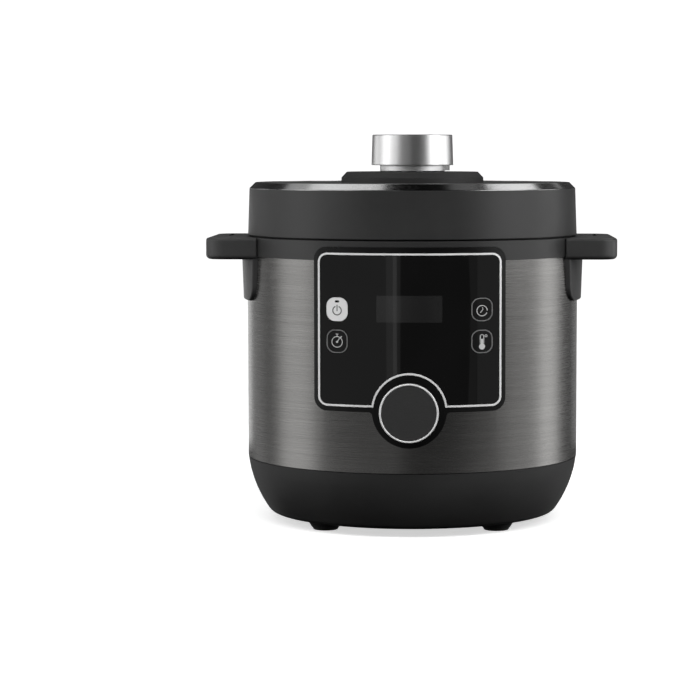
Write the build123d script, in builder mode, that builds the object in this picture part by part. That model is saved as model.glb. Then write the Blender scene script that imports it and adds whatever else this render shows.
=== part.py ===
"""Electric pressure cooker with a twist-locked lift-off lid, in millimetres.

Row frame: +Z up, origin on the table below the middle of the body, control panel facing -Y.
Radii are measured from the vertical axis through the pot unless a comment says otherwise.
"""
import os
from math import cos, radians, sin

from build123d import *

# ---------------------------------------------------------------- driving dimensions
SLEEVE_R = 135.1  # outside of the steel sleeve
SLEEVE_T = 0.8
SLEEVE_LOW, SLEEVE_HIGH = 53.4, 217.4

BASE_BOTTOM = 6.8  # underside of the base shell, above the table
BASE_FLOOR = 11.2  # inside of its floor
BASE_TOP = 52.6
FOOT_RING_R = 96.5

COLLAR_R = 135.9
COLLAR_LOW, COLLAR_HIGH = 217.6, 232.5
LEDGE_HIGH = 220.2  # ledge inside the collar that carries the locking teeth

POT_R = 111.6
POT_WALL = 1.8
POT_LOW, POT_HIGH = 74.2, 225.6
POT_RIM_R = 119.5

SHIELD_R = 115.5
PLATE_TOP = 73.9  # heating plate
PLATE_LOW = 64.0
SHIELD_LOW = 50.0

LID_LOW, LID_HIGH = 233.4, 276.0
LID_SKIRT_R = 134.6
LID_SHOULDER_R = 133.25
LID_SHOULDER_Z = 271.2
BOSS_R, BOSS_HIGH = 58.1, 284.9

KNOB_R_LOW, KNOB_R_HIGH = 33.5, 32.7
KNOB_LOW, KNOB_HIGH = 290.2, 315.0
KNOB_IN_R_LOW, KNOB_IN_R_HIGH = 32.0, 31.0
NECK_R = 26.5
SPINDLE_R = 9.0
STUD_R = 5.0

LUG_COUNT = 6
TOOTH_WIDTH, LUG_WIDTH = 28, 26  # degrees
TOOTH_IN_R, RING_IN_R, RING_OUT_R = 124.2, 128.2, 131.0
LOCK_WALL_IN_R, LOCK_WALL_R, LUG_OUT_R = 121.2, 123.4, 127.4
TOOTH_LOW, TOOTH_HIGH = 231.0, 234.0
LUG_LOW, LUG_HIGH = 227.0, 230.0

VENT_X, VENT_Y = 20.0, 40.0  # steam valve; the float valve mirrors it at -X

HANDLE_OUT_X, HANDLE_CORNER = 165.0, 15.0
HANDLE_HALF_Y = 60.0
HANDLE_LOW, HANDLE_HIGH = 215.3, 232.4
HANDLE_SCREW_X = 148.4
GRIP_IN_X, GRIP_OUT_X = 143.2, 161.2  # hollow under the handle
ROOT_GROOVE = (2.4, 5.2)  # width and length of the notch beside the collar
ROOT_GROOVE_X = 122.6
SLOT_LENGTH, SLOT_WIDTH = 38.0, 3.0  # opening in the top of the handle, where the lid is parked
SLOT_X, SLOT_Y = 150.4, 27.0
LEG_LOW, LEG_HIGH = 181.5, 217.4

# Control panel, in the front view: half widths along X and heights along Z.
PANEL_BACK_R, PANEL_SEAT_R, PANEL_FACE_R = 135.2, 136.05, 138.2
BEZEL_R, TRIM_R = 138.5, 138.65
BEZEL_HALF, BEZEL_LOW, BEZEL_HIGH, BEZEL_CORNER = 74.2, 101.1, 227.9, 10.0
TRIM_HALF, TRIM_LOW, TRIM_HIGH, TRIM_CORNER = 70.3, 105.7, 222.8, 6.5
TRIM_HALF_WIDTH = 0.75
ARCH_R = 28.6
LOBE_R = 28.9
DIAL_Z = 102.3
DIAL_R, DIAL_RING_WIDTH = 22.75, 1.5
DIAL_FRONT, DIAL_BACK = 156.0, 139.4  # distances in front of the pot's axis
DISPLAY_SIZE, DISPLAY_Z = (50.6, 20.5), 180.8
BUTTON_SIZE, BUTTON_CORNER, BUTTON_GAP = (16.6, 18.2), 6.6, 0.25
BUTTON_X, BUTTON_ROWS = 55.9, (180.0, 155.3)
SWITCH_X = 52.0
BOARD_FRONT, BOARD_BACK = 119.7, 118.1

INLET_Z, INLET_FACE = 32.0, 132.2

CUP_HALF_X, CUP_BACK, CUP_LOW, CUP_HIGH, CUP_WALL = 22.0, 155.2, 170.0, 213.0, 1.8
BRACKET_Z = 190.0

SCREW_R = 1.5
REACH = 400.0  # longer than any cut needs

DIAL_PLANE = Plane(origin=(0, 0, DIAL_Z), x_dir=(1, 0, 0), z_dir=(0, -1, 0))
ON_TOP = (Align.CENTER, Align.CENTER, Align.MIN)

os.makedirs("parts", exist_ok=True)


# ---------------------------------------------------------------- shared shapes
def save(part, name):
    """Labels a finished piece and writes it as the node of that name."""
    part.label = name
    export_step(part, f"parts/{name}.step")


def turned(*outline, rounds=None):
    """Solid turned about Z from a closed outline of (radius, height) points.

    rounds gives the corner radius of those outline points that aren't sharp.
    """
    with BuildPart() as solid:
        with BuildSketch(Plane.XZ) as section:
            with BuildLine():
                Polyline(*outline, close=True)
            make_face()
            for corner, radius in (rounds or {}).items():
                fillet(section.vertices().sort_by_distance(Vector(*corner))[0], radius)
        revolve(axis=Axis.Z)
    return solid.part


def sector(inner, outer, low, high, degrees):
    """Piece of a ring about Z, centred on +X."""
    with BuildPart() as piece:
        with BuildSketch(Plane.XZ):
            with Locations(((inner + outer) / 2, (low + high) / 2)):
                Rectangle(outer - inner, high - low)
        revolve(axis=Axis.Z, revolution_arc=degrees)
    return piece.part.rotate(Axis.Z, -degrees / 2)


def curved_plate(outline, inner, outer):
    """The part of a cylindrical wall about Z that a front-view outline covers."""
    with BuildPart() as plate:
        with BuildSketch(Plane.XZ):
            add(outline)
        extrude(amount=REACH)
        Cylinder(outer, 2 * REACH, mode=Mode.INTERSECT)
        Cylinder(inner, 2 * REACH, mode=Mode.SUBTRACT)
    return plate.part


def screw(head_r, head_t, length, shank_r=SCREW_R):
    """Pan-head screw pointing up: its head hangs below z = 0."""
    with BuildPart() as fastener:
        Cylinder(shank_r, length, align=ON_TOP)
        with Locations((0, 0, -head_t)):
            Cylinder(head_r, head_t, align=ON_TOP)
        fillet(fastener.faces().sort_by(Axis.Z)[0].edges(), head_t * 0.45)
        with Locations((0, 0, -head_t)):
            Box(head_r * 1.3, 0.7, head_t, mode=Mode.SUBTRACT)
            Box(0.7, head_r * 1.3, head_t, mode=Mode.SUBTRACT)
    return fastener.part


# ---------------------------------------------------------------- base
base_screw_spots = PolarLocations(75.0, 3, start_angle=90)
foot_spots = PolarLocations(FOOT_RING_R, 4, start_angle=45)

with BuildPart() as base_shell:
    with BuildSketch(Plane.XZ) as base_section:
        with BuildLine():
            Line((0, BASE_BOTTOM), (116.0, BASE_BOTTOM))
            ThreePointArc((116.0, BASE_BOTTOM), (128.0, 27.2), (134.9, BASE_TOP))
            Polyline((134.9, BASE_TOP), (134.1, BASE_TOP), (134.1, 60), (131.4, 60), (131.4, 52))
            ThreePointArc((131.4, 52), (124.9, 28.0), (113.6, BASE_FLOOR))
            Polyline((113.6, BASE_FLOOR), (0, BASE_FLOOR), (0, BASE_BOTTOM))
        make_face()
        fillet(base_section.vertices().sort_by_distance(Vector(116.0, BASE_BOTTOM))[0], 8)
    revolve(axis=Axis.Z)
    with Locations((0, 119, INLET_Z)):
        Box(42, 2 * (INLET_FACE - 119), 26)
    with foot_spots:
        with Locations((0, 0, 2.2)):
            Cone(11.2, 16.0, 7.5, align=ON_TOP)
    with base_screw_spots:
        with Locations((0, 0, BASE_FLOOR)):
            Cylinder(4.2, 8, align=ON_TOP)
    Cylinder(70.0, 2 * BASE_FLOOR + 1, mode=Mode.SUBTRACT)
    Cylinder(80.2, 2 * 8.8, mode=Mode.SUBTRACT)
    with base_screw_spots:
        Cylinder(1.6, 2 * 17.5, mode=Mode.SUBTRACT)
    with foot_spots:
        Cylinder(5.5, 2 * 5.0, mode=Mode.SUBTRACT)
    with Locations((0, 122, INLET_Z)):
        Box(28.0, 60, 20.4, mode=Mode.SUBTRACT)
save(base_shell.part, "base_shell")

with BuildPart() as bottom_cover:
    with Locations((0, 0, 7.0)):
        Cylinder(79.8, 1.8, align=ON_TOP)
    for ring_r, count in ((24, 8), (40, 12), (56, 16)):
        with BuildSketch(Plane.XY.offset(7.0)):
            with PolarLocations(ring_r, count):
                SlotOverall(11, 3)
        extrude(amount=2, mode=Mode.SUBTRACT)
    with base_screw_spots:
        Cylinder(1.6, 2 * 12, mode=Mode.SUBTRACT)
    with Locations((0, -33, 8.8)):
        with GridLocations(76, 42, 2, 2):
            Cylinder(3, 9.2, align=ON_TOP)
save(bottom_cover.part, "bottom_cover")

with BuildPart() as foot_pads:
    foot_pad = turned((0, 0), (9.6, 0), (10.9, 2.2), (5.4, 2.2), (5.4, 4.8), (0, 4.8),
                      rounds={(9.6, 0): 0.8})
    with foot_spots:
        add(foot_pad)
save(foot_pads.part, "foot_pads")

# ---------------------------------------------------------------- sleeve and collar
with BuildSketch() as bezel_outline:
    with Locations((0, (BEZEL_LOW + BEZEL_HIGH) / 2)):
        RectangleRounded(2 * BEZEL_HALF, BEZEL_HIGH - BEZEL_LOW, BEZEL_CORNER)
    with Locations((0, DIAL_Z)):
        Circle(LOBE_R)
    inner_corners = bezel_outline.vertices().filter_by_position(Axis.Y, BEZEL_LOW - 0.01, BEZEL_LOW + 0.01)
    fillet(inner_corners.filter_by_position(Axis.X, -LOBE_R, LOBE_R), 3.0)

with BuildPart() as outer_sleeve:
    with Locations((0, 0, SLEEVE_LOW)):
        Cylinder(SLEEVE_R, SLEEVE_HIGH - SLEEVE_LOW, align=ON_TOP)
    Cylinder(SLEEVE_R - SLEEVE_T, REACH * 2, mode=Mode.SUBTRACT)
    with BuildSketch(Plane.XZ):
        with Locations((0, 163)):
            RectangleRounded(134, 102, 5)
        with Locations((0, DIAL_Z)):
            Circle(20)
    extrude(amount=REACH, mode=Mode.SUBTRACT)
    with Locations((0, SLEEVE_R, (SLEEVE_LOW + SLEEVE_HIGH) / 2)):
        Box(0.6, 0.6, REACH, mode=Mode.SUBTRACT)  # the folded seam at the back
save(outer_sleeve.part, "outer_sleeve")

with BuildPart() as collar:
    add(turned((134.1, 210), (134.1, COLLAR_LOW), (COLLAR_R, COLLAR_LOW), (COLLAR_R, COLLAR_HIGH),
               (131.2, COLLAR_HIGH), (131.2, LEDGE_HIGH), (123.5, LEDGE_HIGH), (123.5, COLLAR_LOW),
               (131.6, COLLAR_LOW), (131.6, 210),
               rounds={(COLLAR_R, COLLAR_HIGH): 0.25, (131.2, COLLAR_HIGH): 0.5}))
    with Locations((0, 138.5, COLLAR_LOW)):
        Box(18, 8, LEDGE_HIGH - COLLAR_LOW, align=ON_TOP)  # spout that carries drips to the cup
    with Locations((0, 137, 222.4)):
        Box(12, 12.1, 4.0, mode=Mode.SUBTRACT)
    add(curved_plate(offset(bezel_outline.sketch, 0.2, mode=Mode.PRIVATE), SLEEVE_R, REACH), mode=Mode.SUBTRACT)
    with PolarLocations(125.6, 6):
        with Locations((0, 0, 215)):
            Cylinder(SCREW_R + 0.1, 10, align=ON_TOP, mode=Mode.SUBTRACT)
save(collar.part, "collar")

with BuildPart() as lug_ring:
    add(turned((117.2, 220.4), (RING_OUT_R, 220.4), (RING_OUT_R, TOOTH_HIGH), (RING_IN_R, TOOTH_HIGH),
               (RING_IN_R, 222.4), (117.2, 222.4), rounds={(RING_OUT_R, TOOTH_HIGH): 0.8}))
    tooth = sector(TOOTH_IN_R, RING_IN_R + 0.5, TOOTH_LOW, TOOTH_HIGH, TOOTH_WIDTH)
    with PolarLocations(0, LUG_COUNT, start_angle=180 / LUG_COUNT):
        add(tooth)
    with Locations((0, RING_OUT_R, 224.4)):
        Box(12, 12, 4.0, mode=Mode.SUBTRACT)  # drain to the spout
    with PolarLocations(125.6, 6):
        with Locations((0, 0, 215)):
            Cylinder(SCREW_R + 0.1, 10, align=ON_TOP, mode=Mode.SUBTRACT)
save(lug_ring.part, "lug_ring")

# ---------------------------------------------------------------- side handles
with BuildPart() as handle_leg:
    with BuildSketch(Plane.XZ):
        with BuildLine():
            Polyline((135.2, LEG_LOW), (138.3, LEG_LOW), (139.5, LEG_HIGH), (135.2, LEG_HIGH), close=True)
        make_face()
    revolve(axis=Axis.Z, revolution_arc=360)
    with BuildSketch(Plane.YZ) as leg_outline:
        with BuildLine():
            Polyline((-53, LEG_LOW), (53, LEG_LOW), (58.5, LEG_HIGH), (-58.5, LEG_HIGH), close=True)
        make_face()
        fillet(leg_outline.vertices().sort_by(Axis.Y)[:2], 14)
    extrude(amount=REACH, mode=Mode.INTERSECT)
    outside = handle_leg.faces().filter_by(GeomType.CONE)
    fillet(outside.edges().filter_by_position(Axis.Z, LEG_LOW - 1, LEG_HIGH - 0.9), 1.4)

with BuildPart() as handle_right:
    with BuildSketch(Plane.XY.offset(HANDLE_LOW)) as handle_plan:
        with Locations((HANDLE_OUT_X - 30, 0)):
            Rectangle(60, 2 * HANDLE_HALF_Y)
        fillet(handle_plan.vertices().sort_by(Axis.X)[2:], HANDLE_CORNER)
    extrude(amount=HANDLE_HIGH - HANDLE_LOW)
    rim = handle_right.faces().sort_by(Axis.Z)[0].edges().filter_by_position(Axis.X, 112, 170)
    fillet(rim, 3.6)
    rim = handle_right.faces().sort_by(Axis.Z)[-1].edges().filter_by_position(Axis.X, 112, 170)
    fillet(rim, 2.2)
    with Locations((0, 0, HANDLE_LOW)):
        Cylinder(COLLAR_R + 0.05, REACH, mode=Mode.SUBTRACT)
    with BuildSketch(Plane.XY.offset(HANDLE_LOW)):
        with Locations(((GRIP_IN_X + GRIP_OUT_X) / 2, 0)):
            RectangleRounded(GRIP_OUT_X - GRIP_IN_X, 102, 7)
    extrude(amount=13.2, mode=Mode.SUBTRACT)
    with Locations((HANDLE_SCREW_X, 0, 217)):
        Cylinder(5.6, 14, align=ON_TOP)
    add(handle_leg.part)
    with Locations((HANDLE_SCREW_X, 0, HANDLE_HIGH)):
        CounterBoreHole(radius=SCREW_R + 0.1, counter_bore_radius=3.2, counter_bore_depth=3.4, depth=13)
    with Locations((ROOT_GROOVE_X, -HANDLE_HALF_Y, HANDLE_LOW), (ROOT_GROOVE_X, HANDLE_HALF_Y, HANDLE_LOW)):
        Box(*ROOT_GROOVE, REACH, align=ON_TOP, mode=Mode.SUBTRACT)
    with BuildSketch(Plane.XY.offset(HANDLE_HIGH)):
        with Locations((SLOT_X, SLOT_Y)):
            SlotOverall(SLOT_LENGTH, SLOT_WIDTH, rotation=90)
    extrude(amount=HANDLE_LOW + 13 - HANDLE_HIGH, mode=Mode.SUBTRACT)
handle_left = mirror(handle_right.part, about=Plane.YZ)
save(handle_right.part, "handle_right")
save(handle_left, "handle_left")

with BuildPart() as housing_screws:
    with base_screw_spots:
        with Locations((0, 0, 7.0)):
            add(screw(3.0, 1.6, 9))
    with PolarLocations(125.6, 6):
        with Locations(Location((0, 0, 222.4), (180, 0, 0))):
            add(screw(2.3, 1.5, 9))
    for side in (-1, 1):
        with Locations(Location((side * HANDLE_SCREW_X, 0, HANDLE_HIGH - 3.4), (180, 0, 0))):
            add(screw(3.0, 1.6, 9))
save(housing_screws.part, "housing_screws")

# ---------------------------------------------------------------- heating
with BuildPart() as heat_shield:
    add(turned((32, SHIELD_LOW), (SHIELD_R, SHIELD_LOW), (SHIELD_R, 219.0), (123.3, 219.0),
               (123.3, LEDGE_HIGH), (SHIELD_R - 1, LEDGE_HIGH), (SHIELD_R - 1, SHIELD_LOW + 1), (32, SHIELD_LOW + 1),
               rounds={(SHIELD_R, SHIELD_LOW): 6, (SHIELD_R - 1, SHIELD_LOW + 1): 5}))
    with Locations((58, 0, SHIELD_LOW)):
        Box(34, 54, 10, mode=Mode.SUBTRACT)  # lets the element's terminals through
save(heat_shield.part, "heat_shield")

with BuildPart() as heating_plate:
    add(turned((15.8, PLATE_LOW), (88, PLATE_LOW), (88, PLATE_TOP), (60, PLATE_TOP), (60, PLATE_TOP - 0.8),
               (57, PLATE_TOP - 0.8), (57, PLATE_TOP), (36, PLATE_TOP), (36, PLATE_TOP - 0.8),
               (33, PLATE_TOP - 0.8), (33, PLATE_TOP), (15.8, PLATE_TOP),
               rounds={(88, PLATE_TOP): 3}))
    with PolarLocations(78, 3, start_angle=60):
        with Locations((0, 0, SHIELD_LOW + 1)):
            Cylinder(5, PLATE_LOW - SHIELD_LOW, align=ON_TOP)
save(heating_plate.part, "heating_plate")

ELEMENT_R, ELEMENT_TUBE_R, ELEMENT_GAP = 56.0, 4.2, 40
with BuildPart() as heating_element:
    with BuildSketch(Plane.XZ):
        with Locations((ELEMENT_R, PLATE_LOW - ELEMENT_TUBE_R - 0.1)):
            Circle(ELEMENT_TUBE_R)
    revolve(axis=Axis.Z, revolution_arc=360 - ELEMENT_GAP)
element = heating_element.part.rotate(Axis.Z, ELEMENT_GAP / 2)
with BuildPart() as heating_element:
    add(element)
    for turn in (-ELEMENT_GAP / 2, ELEMENT_GAP / 2):
        with Locations((ELEMENT_R * cos(radians(turn)), ELEMENT_R * sin(radians(turn)), 42)):
            Cylinder(2.6, 18, align=ON_TOP)
save(heating_element.part, "heating_element")

save(turned((0, 52.6), (15.4, 52.6), (15.4, 72.0), (13.15, 72.0), (13.15, 54.4), (0, 54.4)), "sensor_guide")

save(turned((0, 74.0), (0, 71.8), (11.4, 71.8), (11.4, 60.0), (13.0, 60.0), (13.0, 74.0),
            rounds={(13.0, 74.0): 1.2}), "sensor_cap")

with BuildPart() as sensor_spring:
    with BuildLine() as coil:
        Helix(pitch=3.3, height=15.9, radius=8.5, center=(0, 0, 55.15))
    with BuildSketch(Plane(origin=coil.line @ 0, z_dir=coil.line % 0)):
        Circle(0.6)
    sweep(is_frenet=True)
save(sensor_spring.part, "sensor_spring")

with BuildPart() as thermal_fuse:
    with Locations(Location((0, 42, 61.2), (0, 90, 0))):
        Cylinder(2.6, 22)
        Cylinder(0.7, 44)
save(thermal_fuse.part, "thermal_fuse")

with BuildPart() as pressure_switch:
    with Locations((0, -62, 34)):
        Box(26, 14, SHIELD_LOW - 34, align=ON_TOP)
    with Locations((0, -62, 30)):
        Cylinder(3, 5, align=ON_TOP)
    with Locations((-8, -62, 26)):
        Box(1, 5, 9, align=ON_TOP)
    with Locations((8, -62, 26)):
        Box(1, 5, 9, align=ON_TOP)
save(pressure_switch.part, "pressure_switch")

# ---------------------------------------------------------------- inner pot
inner_r = POT_R - POT_WALL
save(turned((0, POT_LOW), (POT_R, POT_LOW), (POT_R, 224.0), (POT_RIM_R, 224.0), (POT_RIM_R, POT_HIGH),
            (inner_r, POT_HIGH), (inner_r, POT_LOW + 2.2), (0, POT_LOW + 2.2),
            rounds={(POT_R, POT_LOW): 28, (inner_r, POT_LOW + 2.2): 26.4, (POT_RIM_R, POT_HIGH): 0.7,
                    (POT_RIM_R, 224.0): 0.7, (inner_r, POT_HIGH): 1.2}), "inner_pot")

# ---------------------------------------------------------------- power inlet and board
PIN_SIZE = (2, 20, 4)
pin_spots = Locations((-7, INLET_FACE - 13, INLET_Z - 2), (7, INLET_FACE - 13, INLET_Z - 2),
                      (0, INLET_FACE - 13, INLET_Z + 2.2))

with BuildPart() as power_inlet:
    with BuildSketch(Plane.XZ.offset(-INLET_FACE)):
        with Locations((0, INLET_Z)):
            RectangleRounded(27.8, 20.2, 3)
    extrude(amount=20)
    with BuildSketch(Plane.XZ.offset(-INLET_FACE)) as socket:
        with Locations((0, INLET_Z)):
            Rectangle(24.2, 16.2)
        chamfer(socket.vertices().sort_by(Axis.Y)[2:], 4)
    extrude(amount=16.5, mode=Mode.SUBTRACT)
    with pin_spots:
        Box(*PIN_SIZE, mode=Mode.SUBTRACT)
save(power_inlet.part, "power_inlet")

with BuildPart() as inlet_pins:
    with pin_spots:
        Box(*PIN_SIZE)
save(inlet_pins.part, "inlet_pins")

with BuildPart() as power_board:
    with Locations((0, -35, 18.0)):
        Box(90, 54, 1.6, align=ON_TOP)
    parts_on_board = ((-26, -24, 28, 22, 20), (14, -20, 18, 14, 15), (34, -44, 14, 20, 16))
    for x, y, length, width, height in parts_on_board:
        with Locations((x, y, 19.6)):
            Box(length, width, height, align=ON_TOP)
    for x, y in ((-4, -46), (-22, -50)):
        with Locations((x, y, 19.6)):
            Cylinder(6.3, 8.5, align=ON_TOP)
save(power_board.part, "power_board")


# ---------------------------------------------------------------- control panel
def panel_outline(grow):
    """Front view of the glossy face: a rounded rectangle with an arch over the dial."""
    with BuildSketch() as outline:
        with Locations((0, (TRIM_LOW + TRIM_HIGH) / 2)):
            RectangleRounded(2 * (TRIM_HALF + grow), TRIM_HIGH - TRIM_LOW + 2 * grow, TRIM_CORNER + grow)
        with Locations((0, DIAL_Z)):
            Circle(ARCH_R - grow, mode=Mode.SUBTRACT)
    return outline.sketch


trim_outside = panel_outline(TRIM_HALF_WIDTH)
trim_inside = panel_outline(-TRIM_HALF_WIDTH)

with BuildPart() as panel_bezel:
    add(curved_plate(bezel_outline.sketch, PANEL_BACK_R, BEZEL_R))
    crown = panel_bezel.faces().filter_by(GeomType.CYLINDER).sort_by(SortBy.AREA)[-1]
    fillet(crown.outer_wire().edges(), 1.4)
    add(curved_plate(trim_outside, PANEL_SEAT_R, REACH), mode=Mode.SUBTRACT)
    with BuildSketch(Plane.XZ):
        with Locations((0, 164.5)):
            Rectangle(132.6, 104)
        with Locations((0, DIAL_Z)):
            Circle(LOBE_R, mode=Mode.SUBTRACT)
    extrude(amount=REACH, mode=Mode.SUBTRACT)
    with BuildSketch(DIAL_PLANE):
        Circle(8.6)
    extrude(amount=REACH, mode=Mode.SUBTRACT)
save(panel_bezel.part, "panel_bezel")

with BuildSketch() as trim_line:
    add(trim_outside)
    add(trim_inside, mode=Mode.SUBTRACT)
save(curved_plate(trim_line.sketch, PANEL_SEAT_R, TRIM_R), "panel_trim")

button_spots = {
    "power_button": (-BUTTON_X, BUTTON_ROWS[0]),
    "timer_button": (-BUTTON_X, BUTTON_ROWS[1]),
    "delay_button": (BUTTON_X, BUTTON_ROWS[0]),
    "temperature_button": (BUTTON_X, BUTTON_ROWS[1]),
}
with BuildSketch() as face_outline:
    add(trim_inside)
    with Locations((0, DISPLAY_Z)):
        Rectangle(*DISPLAY_SIZE, mode=Mode.SUBTRACT)
    with Locations(*button_spots.values()):
        RectangleRounded(BUTTON_SIZE[0] + 2 * BUTTON_GAP, BUTTON_SIZE[1] + 2 * BUTTON_GAP,
                         BUTTON_CORNER + BUTTON_GAP, mode=Mode.SUBTRACT)
save(curved_plate(face_outline.sketch, PANEL_SEAT_R, PANEL_FACE_R), "panel_face")

with BuildSketch() as window_outline:
    with Locations((0, DISPLAY_Z)):
        Rectangle(*DISPLAY_SIZE)
save(curved_plate(window_outline.sketch, PANEL_SEAT_R, PANEL_FACE_R), "display_window")

for name, (x, z) in button_spots.items():
    with BuildSketch() as cap_outline:
        with Locations((x, z)):
            RectangleRounded(*BUTTON_SIZE, BUTTON_CORNER)
    switch_x = SWITCH_X if x > 0 else -SWITCH_X
    with BuildPart() as button:
        add(curved_plate(cap_outline.sketch, PANEL_SEAT_R, PANEL_FACE_R))
        with BuildSketch(Plane.XZ.offset(123.4)):
            with Locations((switch_x, z)):
                Circle(1.6)
        extrude(amount=3.4)
    save(button.part, name)

with BuildPart() as display_module:
    with Locations((0, -129.4, DISPLAY_Z)):
        Box(54, 6, 24)
    with BuildSketch(Plane.XZ.offset(BOARD_FRONT)):
        with Locations((0, DISPLAY_Z)):
            with GridLocations(44, 16, 2, 2):
                Circle(1.2)
    extrude(amount=127 - BOARD_FRONT)
save(display_module.part, "display_module")

with BuildPart() as control_board:
    with Locations((0, -(BOARD_FRONT + BOARD_BACK) / 2, 148)):
        Box(114, BOARD_FRONT - BOARD_BACK, 120)
    for x in (-SWITCH_X, SWITCH_X):
        for z in BUTTON_ROWS:
            with Locations((x, -BOARD_FRONT - 1.25, z)):
                Box(5, 2.5, 5)
    with Locations((0, -BOARD_FRONT - 1, 145)):
        Box(22, 2, 14)
save(control_board.part, "control_board")

with BuildPart() as control_backplate:
    with Locations((0, -117.0, 147.5)):
        Box(116, 1.4, 123)
save(control_backplate.part, "control_backplate")

with BuildPart() as encoder:
    with Locations((0, -(BOARD_FRONT + 3.5), DIAL_Z)):
        Box(12, 7, 12)
    with BuildSketch(DIAL_PLANE.offset(126)):
        Circle(4.5)
    extrude(amount=4.4)
    with BuildSketch(DIAL_PLANE.offset(124)):
        Circle(3.06)
    extrude(amount=10, mode=Mode.SUBTRACT)
save(encoder.part, "encoder")

# ---------------------------------------------------------------- dial
with BuildPart() as encoder_shaft:
    with BuildSketch(DIAL_PLANE.offset(124.4)):
        Circle(3.0)
    extrude(amount=25)
save(encoder_shaft.part, "encoder_shaft")

with BuildPart() as dial_body:
    with BuildSketch(DIAL_PLANE.offset(DIAL_BACK)):
        Circle(22.0)
    extrude(amount=DIAL_FRONT - 1.6 - DIAL_BACK, taper=1)
    with BuildSketch(DIAL_PLANE.offset(131.2)):
        Circle(8.0)
    extrude(amount=10)
    with BuildSketch(DIAL_PLANE.offset(131)):
        Circle(3.0)
    extrude(amount=18.4, mode=Mode.SUBTRACT)
save(dial_body.part, "dial_body")

with BuildPart() as dial_face:
    with BuildSketch(DIAL_PLANE.offset(DIAL_FRONT - 1.6)):
        Circle(DIAL_R - DIAL_RING_WIDTH)
    extrude(amount=1.1)
    fillet(dial_face.faces().sort_by(Axis.Y)[0].edges(), 0.3)
save(dial_face.part, "dial_face")

with BuildPart() as dial_ring:
    with BuildSketch(DIAL_PLANE.offset(DIAL_FRONT - 1.6)):
        Circle(DIAL_R)
        Circle(DIAL_R - DIAL_RING_WIDTH, mode=Mode.SUBTRACT)
    extrude(amount=1.6)
    fillet(dial_ring.faces().sort_by(Axis.Y)[0].edges(), 0.7)
save(dial_ring.part, "dial_ring")

# ---------------------------------------------------------------- drip cup
cup_height = CUP_HIGH - CUP_LOW
with BuildPart() as bracket_plate:
    with Locations((0, 138, BRACKET_Z)):
        Box(50.6, 12, 26)
    Cylinder(SLEEVE_R + 1.4, REACH * 2, mode=Mode.INTERSECT)
    Cylinder(SLEEVE_R + 0.05, REACH * 2, mode=Mode.SUBTRACT)

with BuildPart() as cup_bracket:
    with Locations((0, 140, BRACKET_Z)):
        Box(51, 24, 12)
    Cylinder(SLEEVE_R + 0.05, REACH * 2, mode=Mode.SUBTRACT)
    with Locations((0, 150, BRACKET_Z)):
        Box(2 * CUP_HALF_X + 0.8, 60, 20, mode=Mode.SUBTRACT)
    add(bracket_plate.part)
save(cup_bracket.part, "cup_bracket")

with BuildPart() as cup_hollow:
    with Locations((0, (CUP_BACK - CUP_WALL + 125) / 2, CUP_LOW + CUP_WALL)):
        Box(2 * (CUP_HALF_X - CUP_WALL), CUP_BACK - CUP_WALL - 125, cup_height, align=ON_TOP)
    fillet(cup_hollow.edges().filter_by(Axis.Z).sort_by(Axis.Y)[-2:], 4.2)
    Cylinder(SLEEVE_R + 3.6, REACH * 2, mode=Mode.SUBTRACT)

with BuildPart() as drip_cup:
    with Locations((0, (CUP_BACK + 125) / 2, CUP_LOW)):
        Box(2 * CUP_HALF_X, CUP_BACK - 125, cup_height, align=ON_TOP)
    fillet(drip_cup.edges().filter_by(Axis.Z).sort_by(Axis.Y)[-2:], 6)
    fillet(drip_cup.faces().sort_by(Axis.Z)[0].edges().sort_by(Axis.Y)[1:], 2.5)
    Cylinder(SLEEVE_R + 1.8, REACH * 2, mode=Mode.SUBTRACT)
    add(cup_hollow.part, mode=Mode.SUBTRACT)
save(drip_cup.part, "drip_cup")

# ---------------------------------------------------------------- lid
lid_post_spots = PolarLocations(127.7, 4, start_angle=45)
with BuildPart() as lid_cover:
    add(turned((132.1, LID_LOW), (LID_SKIRT_R, LID_LOW), (LID_SHOULDER_R, LID_SHOULDER_Z),
               (131.6, LID_SHOULDER_Z), (127.8, 275.0), (125.8, 275.0), (125.8, LID_HIGH), (15.0, LID_HIGH),
               (15.0, 273.2), (124.9, 273.2), (130.4, 268.6),
               rounds={(LID_SKIRT_R, LID_LOW): 1.0, (132.1, LID_LOW): 0.6}))
    with lid_post_spots:
        with Locations((0, 0, 240)):
            Cylinder(3.6, 31, align=ON_TOP)
        with Locations((0, 0, 239)):
            Cylinder(SCREW_R + 0.1, 12, align=ON_TOP, mode=Mode.SUBTRACT)
    with Locations((VENT_X, VENT_Y, 275)):
        Cylinder(6.5, 10, mode=Mode.SUBTRACT)
    with Locations((-VENT_X, VENT_Y, 275)):
        Cylinder(3.4, 10, mode=Mode.SUBTRACT)
save(lid_cover.part, "lid_cover")

save(turned((131.65, 271.25), (LID_SHOULDER_R, 271.25), (LID_SHOULDER_R, 271.6), (128.4, 276.4),
            (125.85, 276.4), (125.85, 275.05), (127.85, 275.05),
            rounds={(LID_SHOULDER_R, 271.6): 0.5, (128.4, 276.4): 0.6}), "lid_trim_ring")

with BuildPart() as lid_boss:
    add(turned((55.4, LID_HIGH), (BOSS_R, LID_HIGH), (BOSS_R, 280.2), (53.6, BOSS_HIGH), (15.2, BOSS_HIGH),
               (15.2, 282.4), (52.4, 282.4), (55.4, 279.2),
               rounds={(BOSS_R, 280.2): 0.8, (53.6, BOSS_HIGH): 0.8}))
    with Locations((VENT_X, VENT_Y, 283)):
        Cylinder(6.5, 10, mode=Mode.SUBTRACT)
    with Locations((-VENT_X, VENT_Y, 283)):
        Cylinder(3.4, 10, mode=Mode.SUBTRACT)
save(lid_boss.part, "lid_boss")

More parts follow.
